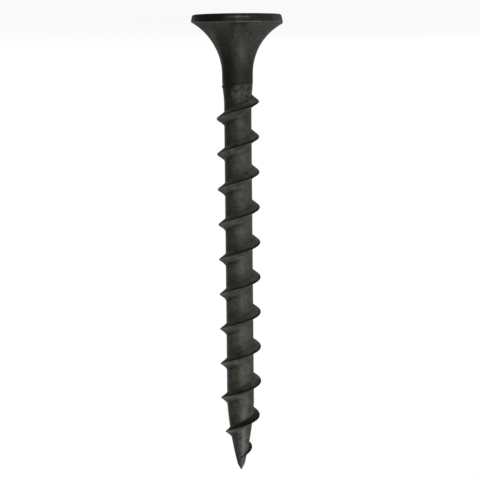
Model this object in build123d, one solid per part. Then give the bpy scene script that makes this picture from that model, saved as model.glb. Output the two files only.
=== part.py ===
"""A coarse-thread drywall screw with a bugle head and a cross recess, cold-formed from one length of wire.

The screw stands on the flat face of its head. The origin is the centre of that face and +Z runs up the
axis to the point. Lengths are in millimetres and angles in degrees.
"""

from build123d import *
from math import ceil, radians, sqrt, tan
import os

# Overall length, from the face of the head to the tip of the point
screw_length = 41.275

# Head: a flat face, a shallow rim that widens away from the face, and a trumpet-shaped underside.
# The bevels stand for the small rounding that the die leaves on the rim's two corners.
head_diameter = 8.22
rim_height = 0.74
rim_draft = 11.0
face_corner_bevel = 0.13
rim_corner_bevel = 0.1
bugle_radius = 5.18

# Neck: the plain wire between the trumpet and the step that the thread rolling leaves
neck_diameter = 2.75
neck_length = 0.42
rolling_step_length = 2.48

# Thread: one right-hand start with a narrow crest and a wide root. It starts a setback past the plain
# neck and rises over its run-in, and its crest diameter shrinks by the taper on the way to the point.
root_diameter = 2.44
thread_diameter = 3.81
thread_pitch = 3.17
crest_width = 0.05
crest_taper = 0.12
head_side_flank_angle = 36.5
point_side_flank_angle = 32.0
thread_setback = 0.28
thread_run_in = 1.7
first_crest_angle = 180.0

# Point: a slightly bellied cone with a blunter nose. The thread sinks into it over its run-out.
point_length = 5.95
point_belly = 0.12
nose_length = 0.48
nose_diameter = 0.6
tip_diameter = 0.06
thread_end_from_tip = 0.95
thread_run_out = 1.25
thread_height_at_end = 0.41

# Cross recess, size 2: four drafted wings inside a cone that closes to a shallow bottom
recess_mouth_diameter = 4.7
recess_bottom_diameter = 2.29
recess_wing_end_angle = 26.5
recess_bottom_angle = 28.0
recess_wing_width = 1.05
recess_wing_draft = 3.5
recess_core_width = 1.9
recess_core_draft = 5.75

# How many sections shape the lofts, and how far cutting and joining shapes reach past a surface
sections_per_turn = 14
point_sections = 4
root_overlap = 0.2
cutter_overshoot = 0.2

# Places along the axis that follow from the sizes above
head_radius = head_diameter / 2
neck_radius = neck_diameter / 2
root_radius = root_diameter / 2
face_radius = head_radius - rim_height * tan(radians(rim_draft))
bugle_end = rim_height + sqrt(bugle_radius**2 - (neck_radius + bugle_radius - head_radius) ** 2)
neck_end = bugle_end + neck_length
root_start = neck_end + rolling_step_length
thread_start = neck_end + thread_setback
thread_full = thread_start + thread_run_in
point_start = screw_length - point_length
nose_start = screw_length - nose_length
thread_end = screw_length - thread_end_from_tip


def ramp(value, start, end):
    """How far a value has gone from start to end, held between 0 and 1."""
    return min(1.0, max(0.0, (value - start) / (end - start)))


def core_radius(z):
    """Radius of the screw's body under the thread: the neck, the step down to the root, then the point."""
    shank = neck_radius + (root_radius - neck_radius) * ramp(z, neck_end, root_start)
    along = ramp(z, point_start, nose_start)
    on_point = 4 * point_belly * along * (1 - along) - (root_radius - nose_diameter / 2) * along
    on_nose = (nose_diameter - tip_diameter) / 2 * ramp(z, nose_start, screw_length)
    return shank + on_point - on_nose


def thread_height(z):
    """Height of the crest above the body. It goes below zero at both ends, where the thread sinks in."""
    full = thread_diameter / 2 - root_radius
    on_shank = full - crest_taper / 2 * ramp(z, thread_full, point_start)
    on_point = (full - crest_taper / 2 - thread_height_at_end) * ramp(z, point_start, thread_end)
    rising = min(1.0, (z - thread_start) / thread_run_in)
    falling = min(1.0, (thread_end - z) / thread_run_out)
    return (on_shank - on_point) * min(rising, falling)


def thread_section(z):
    """Outline of the thread where its crest is at height z, in the half plane that holds the axis."""
    angle = first_crest_angle + 360 * (z - thread_full) / thread_pitch
    inner = core_radius(z) - min(root_overlap, core_radius(z) / 2)
    crest = core_radius(z) + thread_height(z)
    head_side = -crest_width / 2 - (crest - inner) * tan(radians(head_side_flank_angle))
    point_side = crest_width / 2 + (crest - inner) * tan(radians(point_side_flank_angle))
    corners = [
        (inner, 0, z + head_side),
        (crest, 0, z - crest_width / 2),
        (crest, 0, z + crest_width / 2),
        (inner, 0, z + point_side),
    ]
    return Wire.make_polygon(corners, close=True).rotate(Axis.Z, angle)


def make_body():
    """The screw without its thread: head, neck and root are turned, and the point is lofted onto them."""
    with BuildPart() as body:
        with BuildSketch(Plane.XZ) as outline:
            with BuildLine():
                Polyline((0, point_start), (0, 0), (face_radius, 0), (head_radius, rim_height))
                RadiusArc((head_radius, rim_height), (neck_radius, bugle_end), bugle_radius)
                Polyline((neck_radius, bugle_end), (neck_radius, neck_end), (root_radius, root_start),
                         (root_radius, point_start), (0, point_start))
            make_face()
            chamfer(outline.vertices().sort_by_distance((face_radius, 0))[0], face_corner_bevel)
            chamfer(outline.vertices().sort_by_distance((head_radius, rim_height))[0], rim_corner_bevel)
        revolve(axis=Axis.Z)
    step = (nose_start - point_start) / point_sections
    heights = [point_start + step * count for count in range(point_sections + 1)]
    point = Solid.make_loft([Wire.make_circle(core_radius(z), Plane((0, 0, z))) for z in heights])
    nose = Cone(nose_diameter / 2, tip_diameter / 2, nose_length)
    return body.part + point + nose.moved(Location((0, 0, nose_start + nose_length / 2)))


def make_thread():
    """The thread as a run of solids, each lofted through the sections of about one turn."""
    sunk = root_overlap / 2
    first = thread_start - sunk * thread_run_in / thread_height(thread_full)
    last = thread_end + sunk * thread_run_out / thread_height_at_end
    turns = ceil((last - first) / thread_pitch)
    step = (last - first) / turns / sections_per_turn
    lofts = []
    for turn in range(turns):
        begin = turn * sections_per_turn
        heights = [first + step * (begin + count) for count in range(sections_per_turn + 1)]
        lofts.append(Solid.make_loft([thread_section(z) for z in heights]))
    return lofts


def cross_outline(z):
    """Outline of the cross at height z: four wings, with a blunt corner between each pair."""
    wing = recess_wing_width / 2 - z * tan(radians(recess_wing_draft))
    corner = (recess_core_width / 2 - z * tan(radians(recess_core_draft))) * sqrt(2) - wing
    reach = recess_mouth_diameter
    quarter = [(reach, -wing), (reach, wing), (corner, wing), (wing, corner)]
    turned = [Vector(x, y).rotate(Axis.Z, 90 * turn) for turn in range(4) for x, y in quarter]
    return Plane((0, 0, z)) * Wire.make_polygon(turned, close=True)


def make_recess():
    """The space of the punched recess: the drafted cross where it lies inside the cone."""
    bottom_radius = recess_bottom_diameter / 2
    taper = tan(radians(recess_wing_end_angle))
    mouth_radius = recess_mouth_diameter / 2 + cutter_overshoot * taper
    wing_depth = (recess_mouth_diameter - recess_bottom_diameter) / 2 / taper
    recess_depth = wing_depth + bottom_radius * tan(radians(recess_bottom_angle))
    with BuildPart() as cone:
        with BuildSketch(Plane.XZ):
            with BuildLine():
                Polyline((0, -cutter_overshoot), (mouth_radius, -cutter_overshoot),
                         (bottom_radius, wing_depth), (0, recess_depth), close=True)
            make_face()
        revolve(axis=Axis.Z)
    ends = [cross_outline(-cutter_overshoot), cross_outline(recess_depth + cutter_overshoot)]
    return cone.part & Solid.make_loft(ends, ruled=True)


screw = make_body() + make_thread() - make_recess()

os.makedirs("parts", exist_ok=True)
export_step(screw, "parts/screw.step")
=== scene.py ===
from math import atan2, cos, pi, radians, sin, sqrt, tan

import bmesh
import bpy
import numpy as np
from mathutils import Matrix, Vector


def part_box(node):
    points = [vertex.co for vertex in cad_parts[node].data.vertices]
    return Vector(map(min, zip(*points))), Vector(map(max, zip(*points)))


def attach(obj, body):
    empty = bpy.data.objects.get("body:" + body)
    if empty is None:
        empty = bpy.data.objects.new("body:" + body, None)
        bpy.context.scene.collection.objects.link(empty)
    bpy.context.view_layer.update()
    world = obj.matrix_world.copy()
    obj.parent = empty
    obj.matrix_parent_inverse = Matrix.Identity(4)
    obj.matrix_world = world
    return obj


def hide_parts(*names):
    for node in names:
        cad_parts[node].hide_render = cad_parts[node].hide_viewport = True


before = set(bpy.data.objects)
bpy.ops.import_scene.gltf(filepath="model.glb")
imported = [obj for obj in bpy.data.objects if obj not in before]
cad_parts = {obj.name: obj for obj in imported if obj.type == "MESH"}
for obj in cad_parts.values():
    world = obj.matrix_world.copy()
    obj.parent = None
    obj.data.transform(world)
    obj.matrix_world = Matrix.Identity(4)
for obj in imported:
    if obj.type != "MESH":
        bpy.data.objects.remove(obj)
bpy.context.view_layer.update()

# The screw: one length of steel wire. Its head and cross recess are struck cold in a die, its thread and
# its point are rolled between flat dies, and it is left dull black by a phosphate bath and a little oil.
# It stands on the flat of its head. Lengths are in millimetres until the mesh is made.
millimetre = 0.001
low_corner, high_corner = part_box("screw")
screw_length = (high_corner.z - low_corner.z) / millimetre

# Head: a flat face, a shallow rim that widens away from the face, and a trumpet-shaped underside
head_radius = 8.22 / 2
rim_height = 0.73
rim_draft = radians(11.0)
face_corner_radius = 0.25
rim_corner_radius = 0.17
bugle_radius = 5.18
neck_radius = 2.75 / 2
neck_length = 0.42

# Thread and point
rolling_step_length = 2.24
root_radius = 2.44 / 2
thread_radius = 3.81 / 2
thread_pitch = 3.168
crest_width = 0.03
crest_roundness = 0.02
crest_taper = 0.15
head_side_flank_angle = radians(36.5)
point_side_flank_angle = radians(42.6)
head_side_hollow = 1.05
point_side_hollow = 1.9
thread_setback = 0.43
thread_run_in = 1.55
first_crest_angle = radians(181.4)
point_length = 6.2
point_belly = 0.133
nose_length = 0.5
nose_radius = 0.62 / 2
tip_radius = 0.05 / 2
thread_end_from_tip = 0.99
thread_run_out = 1.29
thread_height_at_end = 0.4

# What the dies leave uneven: the crests lie a little towards -X, the turns lean, more so near the point, a
# burr stands where the rolling starts, and the rim and the trumpet are struck slightly askew
crest_offset = 0.058
crest_offset_start = 12.0
crest_offset_full = 24.0
turn_lean = radians(-0.4)
last_turn_lean = radians(-1.95)
last_turn_z = 38.0
burr_height = 0.08
burr_z = 6.38
burr_length = 0.08
burr_angle = 0.3
head_skew = radians(1.1)
head_skew_end = 3.5

# Cross recess: four drafted wings inside a cone that closes to a shallow bottom
recess_mouth_radius = 4.7 / 2
recess_bottom_radius = 2.29 / 2
recess_wing_end_angle = radians(26.5)
recess_bottom_angle = radians(28.0)
recess_wing_width = 1.05
recess_wing_draft = radians(3.5)
recess_core_width = 1.9
recess_core_draft = radians(5.75)
recess_edge_radius = 0.06

# Places along the axis that follow from these sizes
face_radius = head_radius - rim_height * tan(rim_draft)
bugle_centre_radius = neck_radius + bugle_radius
bugle_end = rim_height + sqrt(bugle_radius**2 - (bugle_centre_radius - head_radius) ** 2)
neck_end = bugle_end + neck_length
root_start = neck_end + rolling_step_length
thread_start = neck_end + thread_setback
thread_full = thread_start + thread_run_in
point_start = screw_length - point_length
nose_start = screw_length - nose_length
thread_end = screw_length - thread_end_from_tip
wing_depth = (recess_mouth_radius - recess_bottom_radius) / tan(recess_wing_end_angle)
recess_depth = wing_depth + recess_bottom_radius * tan(recess_bottom_angle)
full_height = thread_radius - root_radius

# The mesh has this many columns round the axis, a multiple of eight so that the recess is symmetrical. The
# threaded length is one strip that winds up the screw, a pitch wide, so that the crest is an edge of the
# mesh. Its first and last turns taper from and to a flat ring.
columns = 128
column_angle = 2 * pi / columns
column_angles = column_angle * np.arange(columns + 1)
nose_overlap = 0.15
nearly_zero = 1e-9


def crest_height(column):
    """Place of the crest along the axis at a column, counted on from turn to turn."""
    return thread_full + thread_pitch * (column / columns - first_crest_angle / (2 * pi))


def column_at(height):
    """The column whose crest is nearest to a height on the axis."""
    return round(((height - thread_full) / thread_pitch + first_crest_angle / (2 * pi)) * columns)


first_column = column_at(neck_end + thread_pitch / 2) - columns
last_column = column_at(nose_start + nose_overlap + thread_pitch / 2)
first_ring_z = crest_height(first_column + columns) - thread_pitch / 2
last_ring_z = crest_height(last_column) - thread_pitch / 2


def ramp(value, start, end):
    """How far a value has gone from start to end, held between 0 and 1."""
    return np.clip((value - start) / (end - start), 0, 1)


def eased(value, start, end):
    """The same with eased ends: three times the share's square, less twice its cube."""
    share = ramp(value, start, end)
    return share**2 * (3 - 2 * share)


def bell(value, centre, width):
    """A bell curve, 1 at its centre."""
    return np.exp(-(((value - centre) / width) ** 2))


def body_radius(z):
    """Radius under the thread: the neck, an eased step to the root, a parabola for the point, and a straight
    cone for the nose."""
    shank = neck_radius + (root_radius - neck_radius) * eased(z, neck_end, root_start)
    along = ramp(z, point_start, nose_start)
    on_point = 4 * point_belly * along * (1 - along) - (root_radius - nose_radius) * along
    return shank + on_point - (nose_radius - tip_radius) * ramp(z, nose_start, screw_length)


def thread_height(z):
    """Height of the crest over the body: full on the shank, with straight slopes to nothing at both ends."""
    on_shank = full_height - crest_taper / 2 * ramp(z, thread_full, point_start)
    at_end = full_height - crest_taper / 2 - thread_height_at_end
    rising = (z - thread_start) / thread_run_in
    falling = (thread_end - z) / thread_run_out
    on_point = at_end * ramp(z, point_start, thread_end)
    return (on_shank - on_point) * np.clip(np.minimum(rising, falling), 0, 1)


def ridge(offset, height):
    """Height over the body at an offset from the crest: a power of the share of the flank left to run, next
    to a narrow flat whose edges are rounded by a hyperbola."""
    past_flat = np.maximum(np.abs(offset) - crest_width / 2, 0)
    away = np.hypot(past_flat, crest_roundness) - crest_roundness
    slope = np.where(offset < 0, tan(head_side_flank_angle), tan(point_side_flank_angle))
    share = away / (np.maximum(height, nearly_zero) * slope)
    return height * np.clip(1 - share, 0, 1) ** np.where(offset < 0, head_side_hollow, point_side_hollow)


def arc(centre_radius, centre_z, radius, start, end, steps):
    """Points on an arc in the half plane of the axis, as radii and heights, from one angle to another."""
    angles = np.linspace(start, end, steps + 1)
    return np.stack([centre_radius + radius * np.cos(angles), centre_z + radius * np.sin(angles)], axis=1)


def turned(profile):
    """The profile's radii and heights carried round the axis, as a grid of points."""
    radii, heights = profile[:, :1], profile[:, 1:]
    return np.stack([radii * np.cos(column_angles), radii * np.sin(column_angles),
                     heights + 0 * column_angles], axis=2)


# Where the wing's outer corner and its inner corner lie among the columns, as shares of the way from the
# middle of a wing to the middle of the gap beside it
outer_corner_share = 0.3
inner_corner_share = 0.75


def recess_outline(depth, growth):
    """The recess at some depths: the smaller of the cone's radius and the cross's radius at each angle. The
    angles follow the corners of the wings, so that the corners stay on the mesh's columns."""
    cone = np.where(depth < wing_depth, recess_mouth_radius - depth * tan(recess_wing_end_angle),
                    (recess_depth - depth) / tan(recess_bottom_angle)) + growth
    wing = recess_wing_width / 2 - depth * tan(recess_wing_draft) + growth
    core = recess_core_width / 2 - depth * tan(recess_core_draft) + growth
    inner_corner = np.arctan2(wing, core * sqrt(2) - wing)
    wing_end = np.arcsin(np.minimum(wing / np.maximum(cone, nearly_zero), 1))
    outer_corner = np.minimum(wing_end, inner_corner)
    half = columns // 8
    knots = np.array([0, round(half * outer_corner_share), round(half * inner_corner_share), half])
    place = (np.arange(columns + 1) + half) % (2 * half) - half
    angles = np.array([np.interp(np.abs(place), knots, [0, outer, inner, pi / 4])
                       for outer, inner in zip(outer_corner, inner_corner)])
    along_wing = wing[:, None] / np.maximum(np.sin(angles), nearly_zero)
    cross = np.maximum(along_wing, core[:, None] / np.cos(pi / 4 - angles))
    radii = np.minimum(cone[:, None], cross)
    quarter = np.floor_divide(np.arange(columns + 1) + half, 2 * half)
    around = quarter * pi / 2 + np.sign(place) * angles
    return np.stack([radii * np.cos(around), radii * np.sin(around), depth[:, None] + 0 * around], axis=2)


# Rows and steps of the head's grid along each stretch of its profile
bottom_rows = 6
wall_rows = 12
lip_steps = 4
corner_steps = 8
flat_rows = 7
bugle_steps = 48
neck_rows = 5


def make_head():
    """Grid from the bottom of the recess, over the face, the rim and the trumpet, to the end of the neck.
    The rim's outer corner is an arc that touches the rim's slant and the trumpet's arc, so its centre is
    where a line beside the slant meets a circle round the trumpet's centre."""
    bottom = np.linspace(recess_depth, wing_depth, bottom_rows)
    walls = np.linspace(wing_depth, 2 * recess_edge_radius, wall_rows)[1:]
    recess = recess_outline(np.concatenate([bottom, walls]), 0)
    lip = arc(recess_edge_radius, recess_edge_radius, recess_edge_radius, pi, 1.5 * pi, lip_steps)
    mouth = np.concatenate([recess_outline(np.array([height]), growth) for growth, height in lip])
    corner_centre = face_radius + face_corner_radius * (tan(rim_draft) - 1 / cos(rim_draft))
    face_corner = arc(corner_centre, face_corner_radius, face_corner_radius, -pi / 2, -rim_draft,
                      corner_steps)
    shares = np.linspace(0, 1, flat_rows)[1:-1, None, None]
    face = mouth[-1:] * (1 - shares) + turned(face_corner[:1]) * shares
    slope = tan(rim_draft)
    start = face_radius - rim_corner_radius / cos(rim_draft) - bugle_centre_radius
    reach = bugle_radius + rim_corner_radius
    half_sum = (bugle_end - slope * start) / (1 + slope**2)
    corner_z = half_sum - sqrt(half_sum**2 - (start**2 + bugle_end**2 - reach**2) / (1 + slope**2))
    corner_radius = start + bugle_centre_radius + corner_z * slope
    towards = atan2(bugle_end - corner_z, bugle_centre_radius - corner_radius)
    rim_corner = arc(corner_radius, corner_z, rim_corner_radius, -rim_draft, towards, corner_steps)
    side = np.linspace(face_corner[-1], rim_corner[0], flat_rows)[1:-1]
    bugle = arc(bugle_centre_radius, bugle_end, bugle_radius, towards - pi, -pi, bugle_steps)[1:]
    neck = np.linspace([neck_radius, bugle_end], [neck_radius, first_ring_z], neck_rows)[1:]
    outside = turned(np.concatenate([face_corner, side, rim_corner, bugle, neck]))
    z = outside[..., 2]
    skewed = eased(z, 0, face_corner_radius) * (1 - eased(z, rim_height, head_skew_end))
    outside[..., 2] -= head_skew * skewed * outside[..., 0]
    return np.concatenate([recess, mouth, face, outside])


# Rows of the strip on each root and flank, crowded by a power towards the crest and the flank's foot. On the
# head's side the flank's rows reach a little past its foot. Where the thread runs in and out the flanks keep
# a least length and leave room for the root's rows, and the crest's row keeps off the strip's edges.
head_root_rows = 8
head_flank_rows = 12
point_flank_rows = 14
point_root_rows = 11
flank_crowding = 1.6
root_crowding = 1.4
head_flank_reach = 1.05
least_height_share = 0.3
most_flank_share = 0.8
crest_room_share = 0.15


def make_thread():
    """Grid of the strip: columns go round the screw, and rows go from mid root over the crest to mid root.
    It comes with each point's offset from the crest and its share of the full height of the thread."""
    column = np.arange(first_column, last_column + 1)[:, None]
    crest = crest_height(column)
    bottom = np.clip(crest - thread_pitch / 2, first_ring_z, last_ring_z)
    top = np.clip(crest + thread_pitch / 2, first_ring_z, last_ring_z)
    crest_room = crest_room_share * (top - bottom)
    middle = np.clip(crest, bottom + crest_room, top - crest_room)
    height = thread_height(crest)
    spread = np.maximum(height, least_height_share * full_height)
    head_run = spread * tan(head_side_flank_angle) * head_flank_reach
    head_run = np.minimum(head_run, most_flank_share * (middle - bottom))
    point_run = np.minimum(spread * tan(point_side_flank_angle), most_flank_share * (top - middle))
    head_foot = middle - head_run
    point_foot = middle + point_run
    head_root = np.linspace(0, 1, head_root_rows)[:-1]
    head_flank = np.linspace(1, 0, head_flank_rows) ** flank_crowding
    point_flank = np.linspace(0, 1, point_flank_rows)[1:] ** flank_crowding
    point_root = np.linspace(0, 1, point_root_rows)[1:] ** root_crowding
    stretches = [bottom + (head_foot - bottom) * head_root, middle - head_run * head_flank,
                 middle + point_run * point_flank, point_foot + (top - point_foot) * point_root]
    z = np.concatenate(stretches, axis=1)
    offset = z - crest
    raised = ridge(offset, height)
    share = raised / full_height
    around = column_angle * column
    from_burr = (around + pi) % (2 * pi) - pi
    burr = burr_height * bell(z, burr_z, burr_length) * bell(from_burr, 0, burr_angle)
    radii = body_radius(z) + raised + burr
    x = radii * np.cos(around)
    lean = turn_lean + (last_turn_lean - turn_lean) * eased(z, point_start - thread_pitch, last_turn_z)
    shift = crest_offset * eased(z, crest_offset_start, crest_offset_full)
    points = np.stack([x - shift * share, radii * np.sin(around), z + lean * x * share], axis=2)
    return points, offset, share


nose_rows = 9


def make_nose():
    """Grid from the strip's last ring to the tip, where the last ring closes to a point."""
    heights = np.concatenate([np.linspace(last_ring_z, screw_length, nose_rows), [screw_length]])
    radii = body_radius(heights)
    radii[-1] = 0
    return turned(np.stack([radii, heights], axis=1))


# The finish is kept as three numbers at each point of the mesh: how pale the phosphate is, with painted
# shade and painted highlights in it, how far it is rubbed down, with more painted highlights in it, and how
# far the thread dies have rolled it. A pair of numbers is where a change starts and ends, eased between, and
# a pair named as a mark is the centre and the width of a bell curve.
# The rolling starts at a slanting line, and barely touches a corner of the wire on its +X side.
rolling_z = 6.25
rolling_slant = 0.11
rolling_edge = 0.1
missed_slant = 0.3
missed_side = (0.2, 0.55)
missed_end = (6.9, 7.7)
missed_share = 0.8


def blend(first, second, share):
    """The first value where the share is 0, the second where it is 1, and a mean of the two between."""
    return first + (second - first) * share


def rolled_share(x, z):
    """How far the thread dies have rolled the wire: 1 past the slanting line, less the missed corner."""
    missed = eased(x - missed_slant * (z - rolling_z), *missed_side) * (1 - eased(z, *missed_end))
    past_line = eased(z - rolling_slant * x, rolling_z - rolling_edge, rolling_z + rolling_edge)
    return past_line * (1 - missed_share * missed)


# The head: the die leaves its rim dark and smooth and its trumpet paler, and the neck is dark again. Painted
# shade darkens the side towards +X, most on the rim and on the neck. The rim has painted highlights at its
# -X and +X ends, and painted shade at the face's corner and, between those ends, a painted shadow in the
# crease under it. A painted highlight runs round the trumpet.
rim_tone = 0.24
bugle_tone = 0.34
neck_tone = 0.185
rim_to_bugle = (rim_height - 0.05, rim_height + 0.05)
bugle_to_neck = (2.5, bugle_end)
rim_to_crease = (0.6, 0.9)
rim_painted_shade_side = (0.7, 1.6)
bugle_painted_shade_side = (0.1, 0.8)
head_painted_shade = 0.05
rim_painted_shade = 0.8
bugle_painted_shade = 0.3
bugle_painted_shade_rise = (1.2, 2.2)
neck_painted_shade = 0.26
neck_painted_shade_rise = (2.5, 5.0)
crease_painted_shadow = 0.5
crease_shadow_mark = (0.87, 0.08)
crease_shadow_side_mark = (-0.2, 1.1)
bugle_painted_highlight = 0.12
bugle_highlight_mark = (2.4, 0.9)
face_corner_painted_shade = 0.4
face_corner_rise = (0.03, 0.1)
minus_x_rim_end_highlight = 0.22
minus_x_rim_end_side = (3.0, 3.4)
plus_x_rim_end_highlight = 0.8
plus_x_rim_end_side = (3.55, 3.85)


def head_tone(x, z):
    """Tone of the head and the neck: a blend from one tone to the next along the axis, less a share for the
    painted shade on the +X side, which changes along the axis too, and with a share taken or added for each
    painted shade and painted highlight."""
    tone = blend(rim_tone, bugle_tone, eased(z, *rim_to_bugle))
    tone = blend(tone, neck_tone, eased(z, *bugle_to_neck))
    on_rim = 1 - eased(z, *rim_to_crease)
    # The oil share is a painted shade on the +X side.
    oil = head_painted_shade + rim_painted_shade * on_rim
    oil += bugle_painted_shade * eased(z, *bugle_painted_shade_rise) + neck_painted_shade * eased(z, *neck_painted_shade_rise)
    oil_start, oil_full = [blend(*places, on_rim) for places in zip(bugle_painted_shade_side, rim_painted_shade_side)]
    tone *= 1 - oil * eased(x, oil_start, oil_full)
    # A painted shadow in the crease under the rim.
    crease_shadow = crease_painted_shadow * bell(z, *crease_shadow_mark) * bell(x, *crease_shadow_side_mark)
    # A painted highlight round the trumpet.
    tone *= 1 - crease_shadow + bugle_painted_highlight * bell(z, *bugle_highlight_mark)
    # Painted shade at the face's corner.
    tone *= 1 - face_corner_painted_shade * (1 - eased(z, *face_corner_rise))
    # Painted highlights at the rim's -X and +X ends.
    ends = minus_x_rim_end_highlight * eased(-x, *minus_x_rim_end_side) + plus_x_rim_end_highlight * eased(x, *plus_x_rim_end_side)
    return tone + ends * on_rim


# The shank and the point: the rolled wire is pale, less so on its first turns, and the point is palest. A
# painted shade darkens the +X side near the head. It fades along the shank, and near the point that side is
# made paler instead. A painted shade darkens the -X side a little, more so on the last turns. A dark line
# marks where the rolling starts, and the nose is dark.
root_tone = 0.605
first_root_shade = 0.16
first_root_fade = (8.0, 13.0)
root_side_painted_shade = 0.35
root_painted_shade_side = (0.2, 0.9)
root_side_shade_drop = 0.12
root_side_shade_drop_fade = (8.0, 10.0)
root_side_shade_loss = 0.48
root_side_shade_loss_rise = (12.0, 30.0)
minus_x_painted_shade = 0.12
minus_x_shade_start = 0.2
minus_x_shade_full = 0.6
last_turns = (36.0, 39.0)
last_minus_x_painted_shade = 0.27
last_minus_x_shade_shift = 0.15
nose_shade = 0.5
nose_rise = (39.2, 39.8)
rolling_line_shade = 0.75
rolling_line_mark = (rolling_z - 0.11, 0.055)
point_tone = 0.68
point_rise = (point_start, point_start + 3.0)


def body_tone(x, z, rolled):
    """Tone under the thread: the head's, blended into the root's where the wire is rolled, less a share for
    each side, the nose and the line, and then raised by the difference to the point's."""
    root = root_tone - first_root_shade * (1 - eased(z, *first_root_fade))
    tone = blend(head_tone(x, z), root, rolled)
    # The oil share is a painted shade on the +X side. Near the point it turns negative and makes that side
    # paler.
    oil = root_side_painted_shade - root_side_shade_drop * eased(z, *root_side_shade_drop_fade) - root_side_shade_loss * eased(z, *root_side_shade_loss_rise)
    tone *= 1 - oil * eased(x, *root_painted_shade_side) * rolled
    # Painted shade on the -X side, more on the last turns.
    last = eased(z, *last_turns)
    painted_shade = eased(-x, minus_x_shade_start - last_minus_x_shade_shift * last, minus_x_shade_full)
    tone *= 1 - (minus_x_painted_shade + last_minus_x_painted_shade * last) * painted_shade * rolled
    tone *= 1 - nose_shade * eased(z, *nose_rise)
    tone *= 1 - rolling_line_shade * bell(z - rolling_slant * x, *rolling_line_mark)
    return tone + (point_tone - root_tone) * eased(z, *point_rise)


# The thread: its flanks are pressed smooth, and the ones that face the head carry painted shade on their +X
# side and are dark on the last turns, while the ones that face the point carry painted light on their +X
# side.
# The crest is black, less so on its +X side, with a painted highlight just past it on the -X side, and a
# painted shadow lies at the foot of the flank that faces the point, mostly on the +X side. The root has
# painted shade before the crest and a painted highlight after it between the two sides.
thread_rise = (6.9, 7.6)
thread_fall = (37.0, 38.5)
pre_crest_shade_mark = (-0.9, 0.3)
pre_crest_painted_shade = 0.1
later_pre_crest_painted_shade = 0.2
later_pre_crest_shade_rise = (14.0, 22.0)
root_highlight_mark = (1.25, 0.25)
root_highlight_side_mark = (-0.1, 0.4)
root_painted_highlight = 0.15
flank_rise = (0.02, 0.3)
point_flank_foot = (0.4, 0.56)
head_flank_tone = 0.74
head_flank_shade = 0.2
head_flank_shade_rise = (10.0, 28.0)
head_flank_shade_side = (-0.6, 0.0)
last_head_flank_shade = 0.85
last_head_flank_rise = (32.0, 37.0)
head_flank_painted_shade = 0.3
head_flank_painted_shade_side = (-0.3, 0.5)
point_flank_tone = 0.55
first_flank_shade = 0.16
first_flank_fade = (10.0, 15.0)
point_flank_painted_light = 0.3
point_flank_light_side = (0.0, 0.35)
crest_highlight_mark = (0.13, 0.06)
crest_highlight_side = (-0.1, 0.7)
crest_painted_highlight = 0.4
crest_highlight_loss = 0.7
crest_highlight_fade = (18.0, 24.0)
crest_tone = 0.0
crest_mark = (-0.05, 0.08)
crest_rise = (0.04, 0.25)
crest_paling = 0.4
crest_paling_side = (0.6, 1.2)
foot_shadow_mark = (0.7, 0.13)
foot_painted_shadow = 0.15
foot_side_painted_shadow = 0.35
foot_shadow_side = (-0.1, 0.5)


def thread_tone(tone, x, z, offset, share):
    """Tone with the thread on it: bands of the root, each flank and the crest in turn, placed by the offset
    from the crest and by the share of the thread's height, and blended over the tone of the body."""
    threaded = eased(z, *thread_rise) * (1 - eased(z, *thread_fall))
    # Painted shade on the root before the crest.
    painted_shade = pre_crest_painted_shade + later_pre_crest_painted_shade * eased(z, *later_pre_crest_shade_rise)
    tone = tone * (1 - painted_shade * bell(offset, *pre_crest_shade_mark) * threaded)
    # A painted highlight on the root after the crest.
    tone *= 1 + root_painted_highlight * bell(offset, *root_highlight_mark) * bell(x, *root_highlight_side_mark) * threaded
    on_foot = (1 - eased(offset, *point_flank_foot)) * threaded * (offset > 0)
    on_flank = np.maximum(eased(share, *flank_rise), on_foot)
    # The flanks that face the head get painted shade on their +X side, and the ones that face the point get
    # painted light there.
    head_flank = head_flank_tone * (1 - last_head_flank_shade * eased(z, *last_head_flank_rise))
    head_flank *= 1 - head_flank_shade * eased(z, *head_flank_shade_rise) * eased(x, *head_flank_shade_side)
    head_flank *= 1 - head_flank_painted_shade * eased(x, *head_flank_painted_shade_side)
    point_flank = point_flank_tone * (1 - first_flank_shade * (1 - eased(z, *first_flank_fade)))
    point_flank *= 1 + point_flank_painted_light * eased(x, *point_flank_light_side)
    tone = blend(tone, np.where(offset > 0, point_flank, head_flank), on_flank)
    # A painted highlight just past the crest on the -X side.
    bright = bell(offset, *crest_highlight_mark) * eased(-x, *crest_highlight_side)
    bright *= 1 - crest_highlight_loss * eased(z, *crest_highlight_fade)
    tone *= 1 + crest_painted_highlight * bright * threaded
    on_crest = bell(offset, *crest_mark) * eased(share, *crest_rise)
    tone = blend(tone, crest_tone, on_crest * (1 - crest_paling * eased(x, *crest_paling_side)))
    # A painted shadow at the foot of the flank that faces the point, mostly on the +X side.
    return tone * (1 - bell(offset, *foot_shadow_mark) * (foot_painted_shadow + foot_side_painted_shadow * eased(x, *foot_shadow_side)))


# Rub and painted highlights: the edge where the rim meets the trumpet, rubbed and with a painted highlight
# on it, a painted highlight on the front of the rim, and a painted highlight band along the front and the
# back of the body, which is strongest near the point and stops at the flanks
rim_edge_rub_and_highlight = 0.8
rim_edge_mark = (rim_height, 0.04)
rim_highlight_mark = (0.31, 0.09)
rim_highlight_rise = (-1.5, -0.9)
rim_highlight_fall = (0.2, 1.5)
highlight_band_mark = (-0.2, 0.35)
highlight_band_strength = 0.2
neck_highlight_band = 0.1
neck_highlight_band_mark = (3.0, 1.2)
point_highlight_band = 0.5
point_highlight_band_rise = (30.0, 39.0)
highlight_band_flank_loss = 3


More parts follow.
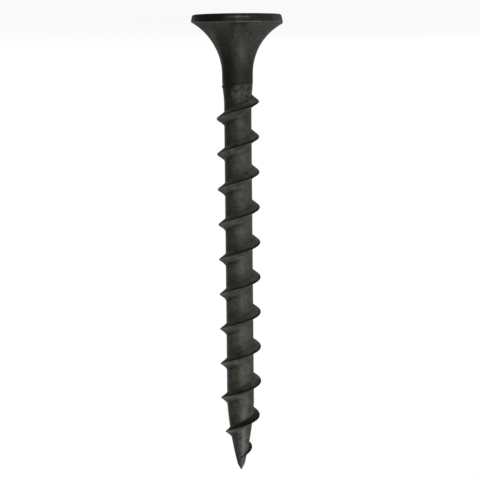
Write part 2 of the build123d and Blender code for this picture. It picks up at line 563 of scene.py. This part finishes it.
def rub_and_highlight_share(x, y, z, share):
    """Share of rub and painted highlight: the edge and the rim's painted highlight, which stay off the
    recess, and the painted highlight band, added up. Each is a bell curve across its width."""
    on_outside = np.hypot(x, y) > face_radius
    # The streak is a painted highlight on the front of the rim.
    streak = bell(z, *rim_highlight_mark) * eased(x, *rim_highlight_rise) * (1 - eased(x, *rim_highlight_fall)) * (y < 0)
    # The band is a painted highlight along the front and the back of the body.
    band = bell(x, *highlight_band_mark) * np.clip(1 - highlight_band_flank_loss * share, 0, 1)
    band *= highlight_band_strength + neck_highlight_band * bell(z, *neck_highlight_band_mark) + point_highlight_band * eased(z, *point_highlight_band_rise)
    return (rim_edge_rub_and_highlight * bell(z, *rim_edge_mark) + streak) * on_outside + band


def finish_of(points, offset, share):
    """The three numbers of the finish at each point of a grid."""
    x, y, z = np.moveaxis(points, 2, 0)
    rolled = rolled_share(x, z)
    tone = thread_tone(body_tone(x, z, rolled), x, z, offset, share)
    return np.stack([tone, rub_and_highlight_share(x, y, z, share), rolled], axis=2)


def plain_finish_of(points):
    """The same for a grid without a thread, a whole pitch away from any crest."""
    no_thread = np.zeros(points.shape[:2])
    return finish_of(points, no_thread - thread_pitch, no_thread)


def quads(rows, places, first):
    """Corner numbers of the faces of a grid whose points are numbered from first, row by row."""
    number = first + np.arange(rows * places).reshape(rows, places)
    corners = [number[:-1, :-1], number[:-1, 1:], number[1:, 1:], number[1:, :-1]]
    return np.stack(corners, axis=2).reshape(-1, 4)


strip, strip_offset, strip_share = make_thread()
strip_finish = finish_of(strip, strip_offset, strip_share)
head, nose = make_head(), make_nose()
grids = [head, strip.transpose(1, 0, 2), nose]
finishes = [plain_finish_of(head), strip_finish.transpose(1, 0, 2), plain_finish_of(nose)]
starts = np.cumsum([0] + [grid.shape[0] * grid.shape[1] for grid in grids[:-1]])
points = np.concatenate([grid.reshape(-1, 3) for grid in grids]) * millimetre
faces = np.concatenate([quads(*grid.shape[:2], start) for grid, start in zip(grids, starts)])
mesh = bpy.data.meshes.new("screw_body")
mesh.from_pydata(points, [], faces)
finish = mesh.attributes.new("finish", "FLOAT_VECTOR", "POINT")
finish.data.foreach_set("vector", np.concatenate([grid.reshape(-1, 3) for grid in finishes]).ravel())

# The grids' seams and poles are welded, and faces that have shrunk to nothing are dissolved. The two
# distances are in metres.
weld_distance = 1e-7
shortest_edge = 1e-8
sharp_angle = radians(40)
shell = bmesh.new()
shell.from_mesh(mesh)
bmesh.ops.remove_doubles(shell, verts=shell.verts, dist=weld_distance)
bmesh.ops.dissolve_degenerate(shell, edges=shell.edges, dist=shortest_edge)
shell.to_mesh(mesh)
shell.free()
mesh.shade_smooth()
mesh.set_sharp_from_angle(angle=sharp_angle)
screw = bpy.data.objects.new("drywall_screw_body", mesh)
bpy.context.scene.collection.objects.link(screw)


class Wire:
    """An output socket of a material's nodes. Arithmetic on it adds Math nodes, and node() any other."""

    # Nearly all values of the noise texture lie between these two
    noise_range = (0.25, 0.75)

    def __init__(self, tree, socket=None):
        self.tree = tree
        self.socket = socket

    def node(self, kind, output, settings=None, sockets=None):
        """Adds a node. Its settings are set first, and then each socket gets its value or its link."""
        made = self.tree.nodes.new(kind)
        for name, value in (settings or {}).items():
            setattr(made, name, value)
        for name, value in (sockets or {}).items():
            if isinstance(value, Wire):
                self.tree.links.new(value.socket, made.inputs[name])
            else:
                made.inputs[name].default_value = value
        return Wire(self.tree, made.outputs[output])

    def maths(self, operation, first, second=0.0):
        """Adds a Math node that works on two values or wires."""
        return self.node("ShaderNodeMath", 0, {"operation": operation}, {0: first, 1: second})

    def mixed(self, first, second):
        """The first colour where this value is 0, and the second where it is 1."""
        return self.node("ShaderNodeMix", 2, {"data_type": "RGBA"}, {0: self, 6: first, 7: second})

    def between(self, start, end):
        """How far this value has gone from start to end, held between 0 and 1, with eased ends."""
        return self.node("ShaderNodeMapRange", 0, {"interpolation_type": "SMOOTHSTEP"},
                         {0: self, 1: start, 2: end, 3: 0.0, 4: 1.0})

    def noise(self, stretch, detail):
        """Noise at this place, -1 to 1, with a stretch of so many blotches to the millimetre each way."""
        place = self.node("ShaderNodeVectorMath", 0, {"operation": "MULTIPLY"}, {0: self, 1: stretch})
        sockets = {"Vector": place, "Scale": 1.0, "Detail": detail}
        return self.node("ShaderNodeTexNoise", 0, None, sockets).between(*Wire.noise_range) * 2.0 - 1.0

    def __add__(self, other):
        return self.maths("ADD", self, other)

    def __sub__(self, other):
        return self.maths("SUBTRACT", self, other)

    def __rsub__(self, other):
        return self.maths("SUBTRACT", other, self)

    def __mul__(self, other):
        return self.maths("MULTIPLY", self, other)

    __radd__ = __add__
    __rmul__ = __mul__


# Black phosphate: a fine crystalline coat that lies in grains, in blotches and in the lines that the wire's
# drawing and the thread's rolling leave. It is nearly black where the tone is low, from a thick oiled coat
# and from the painted shade. Where the tone is high it is olive, neutral on the struck head and warmer on
# the rolled wire, and rubbed places and painted highlights show bare steel.
dark = (0.0040, 0.0042, 0.0034, 1)
olive = (0.0965, 0.1000, 0.0790, 1)
struck_grey = (0.0985, 0.1025, 0.0955, 1)
rolled_olive = (0.1040, 0.1045, 0.0855, 1)
rolled_brown = (0.1075, 0.1010, 0.0910, 1)
bare_steel_and_highlight = (0.1750, 0.1640, 0.1530, 1)

phosphate = bpy.data.materials.new("black_phosphate")
phosphate.use_nodes = True
shader = phosphate.node_tree.nodes["Principled BSDF"]
nodes = Wire(phosphate.node_tree)
object_place = nodes.node("ShaderNodeTexCoord", "Object")
place_mm = nodes.node("ShaderNodeVectorMath", 0, {"operation": "SCALE"},
                      {0: object_place, "Scale": 1 / millimetre})
along = nodes.node("ShaderNodeSeparateXYZ", "Z", None, {0: place_mm})
marks = nodes.node("ShaderNodeAttribute", "Vector", {"attribute_name": "finish"})
tone_and_painted_light, rub_and_highlight, rolled = [nodes.node("ShaderNodeSeparateXYZ", axis, None, {0: marks}) for axis in "XYZ"]
grain = place_mm.noise((9.0, 9.0, 9.0), 2.0)
mottle = place_mm.noise((2.0, 2.0, 1.6), 3.0)
drawn_lines = place_mm.noise((5.0, 5.0, 0.7), 2.0)
rolled_lines = place_mm.noise((1.0, 1.0, 7.0), 2.0)
lines = drawn_lines * (1.0 - rolled) + rolled_lines * rolled
speckle = place_mm.noise((3.6, 3.6, 3.6), 1.0)
blush = place_mm.noise((1.3, 1.3, 0.9), 2.0)

# How uneven each pattern makes the tone. All but the speckle grow towards the point, and the speckle is
# strongest where the rolling starts.
grain_tone = 0.16
mottle_tone = 0.36
lines_tone = 0.15
first_patterns = 0.8
added_patterns = 0.4
patterns_rise = (24.0, 36.0)
speckle_tone = 0.06
head_speckle_tone = 0.14
head_speckle_fade = (4.0, 6.0)
rolling_speckle_tone = 0.5
rolling_speckle_rise = (6.2, 6.4)
rolling_speckle_fade = (7.4, 8.4)
rub_and_highlight_tone = 0.5
patterns = grain * grain_tone + mottle * mottle_tone + lines * lines_tone
growth = along.between(*patterns_rise) * added_patterns + first_patterns
rolling_band = along.between(*rolling_speckle_rise) - along.between(*rolling_speckle_fade)
on_head = 1.0 - along.between(*head_speckle_fade)
speckled = rolling_band * rolling_speckle_tone + on_head * head_speckle_tone + speckle_tone
# The rubbed share adds the painted highlights to the tone, which already holds the painted shade.
tone = (tone_and_painted_light + rub_and_highlight * rub_and_highlight_tone) * (patterns * growth + speckle * speckled + 1.0)

# Hue and colour: brown comes in blotches and towards the point, and olive goes where the tone is pale
brown_rise = (31.0, 36.0)
brown_gain = 0.5
brown_range = (-0.6, 0.8)
blush_hue = 0.24
rub_and_highlight_hue = 0.2
rolled_hue = 0.26
hue_range = (0.1, 0.5)
bare_and_highlight_range = (0.5, 1.1)
brown = (blush + along.between(*brown_rise) * brown_gain).between(*brown_range)
thin = rolled.mixed(struck_grey, brown.mixed(rolled_olive, rolled_brown))
hue = (tone + blush * blush_hue + rub_and_highlight * rub_and_highlight_hue - rolled * rolled_hue).between(*hue_range)
pale = hue.mixed(olive, thin)
colour = tone.mixed(dark, rub_and_highlight.between(*bare_and_highlight_range).mixed(pale, bare_steel_and_highlight))
phosphate.node_tree.links.new(colour.socket, shader.inputs["Base Color"])

# Relief, gloss and oil: the coat's crystals stand up by some micrometres, rolled wire is a little rougher
# than struck wire, and the oil is a thin clear coat, a little thicker where the metal is rubbed and where
# highlights are painted
relief_strength = 0.6
relief_height = 0.012 * millimetre
grain_relief = 0.5
mottle_relief = 0.8
lines_relief = 0.4
struck_roughness = 0.4
rolled_roughness = 0.12
grain_roughness = 0.04
mottle_roughness = 0.05
rub_and_highlight_polish = 0.1
oil_weight = 0.12
rub_and_highlight_oil = 0.1
mottle_oil = 0.05
oil_roughness = 0.3
relief = grain * grain_relief + mottle * mottle_relief + lines * lines_relief
bump = nodes.node("ShaderNodeBump", 0, None,
                  {"Strength": relief_strength, "Distance": relief_height, "Height": relief})
phosphate.node_tree.links.new(bump.socket, shader.inputs["Normal"])
coarseness = rolled * rolled_roughness + grain * grain_roughness + mottle * mottle_roughness
roughness = coarseness - rub_and_highlight * rub_and_highlight_polish + struck_roughness
phosphate.node_tree.links.new(roughness.socket, shader.inputs["Roughness"])
oil = rub_and_highlight * rub_and_highlight_oil - mottle * mottle_oil + oil_weight
phosphate.node_tree.links.new(oil.socket, shader.inputs["Coat Weight"])
shader.inputs["Coat Roughness"].default_value = oil_roughness
shader.inputs["Metallic"].default_value = 0.0
shader.inputs["Specular IOR Level"].default_value = 0.0
mesh.materials.append(phosphate)
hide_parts("screw")
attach(screw, "root")

# The floor: a plain pale sheet under the head. The camera sees it nearly white, and a little darker where
# the screw shades it. Far off it is as white as the world behind it, so that no horizon shows.
floor_half = 0.6
floor_corners = [(-floor_half, -floor_half, 0), (floor_half, -floor_half, 0),
                 (floor_half, floor_half, 0), (-floor_half, floor_half, 0)]
floor_mesh = bpy.data.meshes.new("floor")
floor_mesh.from_pydata(floor_corners, [], [(0, 1, 2, 3)])
floor = bpy.data.objects.new("floor", floor_mesh)
bpy.context.scene.collection.objects.link(floor)
near_white = 0.9
near_reach = 0.02
far_reach = 0.2


def seen_directly(wire):
    """1 for rays from the camera, reflections and anything clear, and 0 for the rays that carry light."""
    kinds = ("Is Camera Ray", "Is Glossy Ray", "Is Transmission Ray")
    camera_ray, glossy_ray, clear_ray = [wire.node("ShaderNodeLightPath", kind) for kind in kinds]
    return wire.maths("MAXIMUM", wire.maths("MAXIMUM", camera_ray, glossy_ray), clear_ray)


paper = bpy.data.materials.new("floor_paper")
paper.use_nodes = True
paper_nodes = Wire(paper.node_tree)
paper_shader = paper.node_tree.nodes["Principled BSDF"]
paper_shader.inputs["Base Color"].default_value = (0.8, 0.8, 0.8, 1)
paper_shader.inputs["Roughness"].default_value = 1.0
paper_shader.inputs["Specular IOR Level"].default_value = 0.0
floor_place = paper_nodes.node("ShaderNodeTexCoord", "Object")
reach = paper_nodes.node("ShaderNodeVectorMath", "Value", {"operation": "LENGTH"}, {0: floor_place})
whiteness = reach.between(near_reach, far_reach) * (1 - near_white) + near_white
white = paper_nodes.node("ShaderNodeEmission", 0, None, {"Color": (1, 1, 1, 1), "Strength": 1.0})
lit_paper = Wire(paper.node_tree, paper_shader.outputs[0])
shown = paper_nodes.node("ShaderNodeMixShader", 0, None,
                         {0: seen_directly(paper_nodes) * whiteness, 1: lit_paper, 2: white})
paper.node_tree.links.new(shown.socket, paper.node_tree.nodes["Material Output"].inputs["Surface"])
floor_mesh.materials.append(paper)

# Light: a white world that lights the screw only faintly, and five soft boxes. Two stand in front on the -X
# side with a tall strip beside them, a tall one behind on the +X side draws that edge, and one hangs high
# behind for the back.
world_light = 0.04
world = bpy.data.worlds.new("studio")
world.use_nodes = True
bpy.context.scene.world = world
background = world.node_tree.nodes["Background"]
background.inputs["Color"].default_value = (1, 1, 1, 1)
strength = seen_directly(Wire(world.node_tree)) * (1 - world_light) + world_light
world.node_tree.links.new(strength.socket, background.inputs["Strength"])
lamp_distance = 0.35


def soft_box(name, turn, rise, width, height, level):
    """A lamp that looks at the middle of the screw, turned from the camera's side towards -X and raised by
    so many degrees. Its level is how bright it makes a white card that faces it."""
    light = bpy.data.lights.new(name, "AREA")
    light.shape = "RECTANGLE"
    light.size = width
    light.size_y = height
    light.energy = level * (pi * lamp_distance) ** 2
    box = bpy.data.objects.new(name, light)
    bpy.context.scene.collection.objects.link(box)
    side, up = radians(turn), radians(rise)
    towards = Vector((-sin(side) * cos(up), -cos(side) * cos(up), sin(up)))
    box.location = towards * lamp_distance + Vector((0, 0, screw_length * millimetre / 2))
    box.rotation_euler = towards.to_track_quat("Z", "Y").to_euler()


soft_box("key", turn=38, rise=40, width=0.2, height=0.2, level=0.5)
soft_box("side", turn=60, rise=20, width=0.16, height=0.16, level=0.27)
soft_box("strip", turn=26, rise=30, width=0.03, height=0.36, level=0.13)
soft_box("edge", turn=-136, rise=15, width=0.1, height=0.36, level=0.23)
soft_box("back", turn=180, rise=50, width=0.2, height=0.2, level=0.22)

# The camera stands in front of the screw near the floor, upside down, so that the head is at the top of the
# picture. Its place and turns are in the screw's own frame, with the axis down the picture.
camera_distance = 0.146705
camera_height = 0.00467
camera_pitch = radians(6.03)
camera_yaw = radians(-0.033)
camera_roll = radians(-0.555)
focal_pixels = 1635.3
picture_width = 480
sensor_width = 36.0

camera_data = bpy.data.cameras.new("camera")
camera_data.sensor_fit = "HORIZONTAL"
camera_data.sensor_width = sensor_width
camera_data.lens = focal_pixels / picture_width * sensor_width
camera_data.clip_start = millimetre
camera = bpy.data.objects.new("camera", camera_data)
bpy.context.scene.collection.objects.link(camera)
bpy.context.scene.camera = camera
roll_and_pitch = Matrix.Rotation(camera_roll, 3, "Z") @ Matrix.Rotation(camera_pitch, 3, "X")
turns = roll_and_pitch @ Matrix.Rotation(camera_yaw, 3, "Y")
from_picture = Matrix(((-1, 0, 0), (0, 0, 1), (0, 1, 0)))
right, down, forward = [from_picture @ row for row in turns]
standpoint = Matrix.Translation((0, -camera_distance, camera_height))
camera.matrix_world = standpoint @ Matrix((right, -down, -forward)).transposed().to_4x4()

bpy.context.scene.view_settings.view_transform = "Standard"
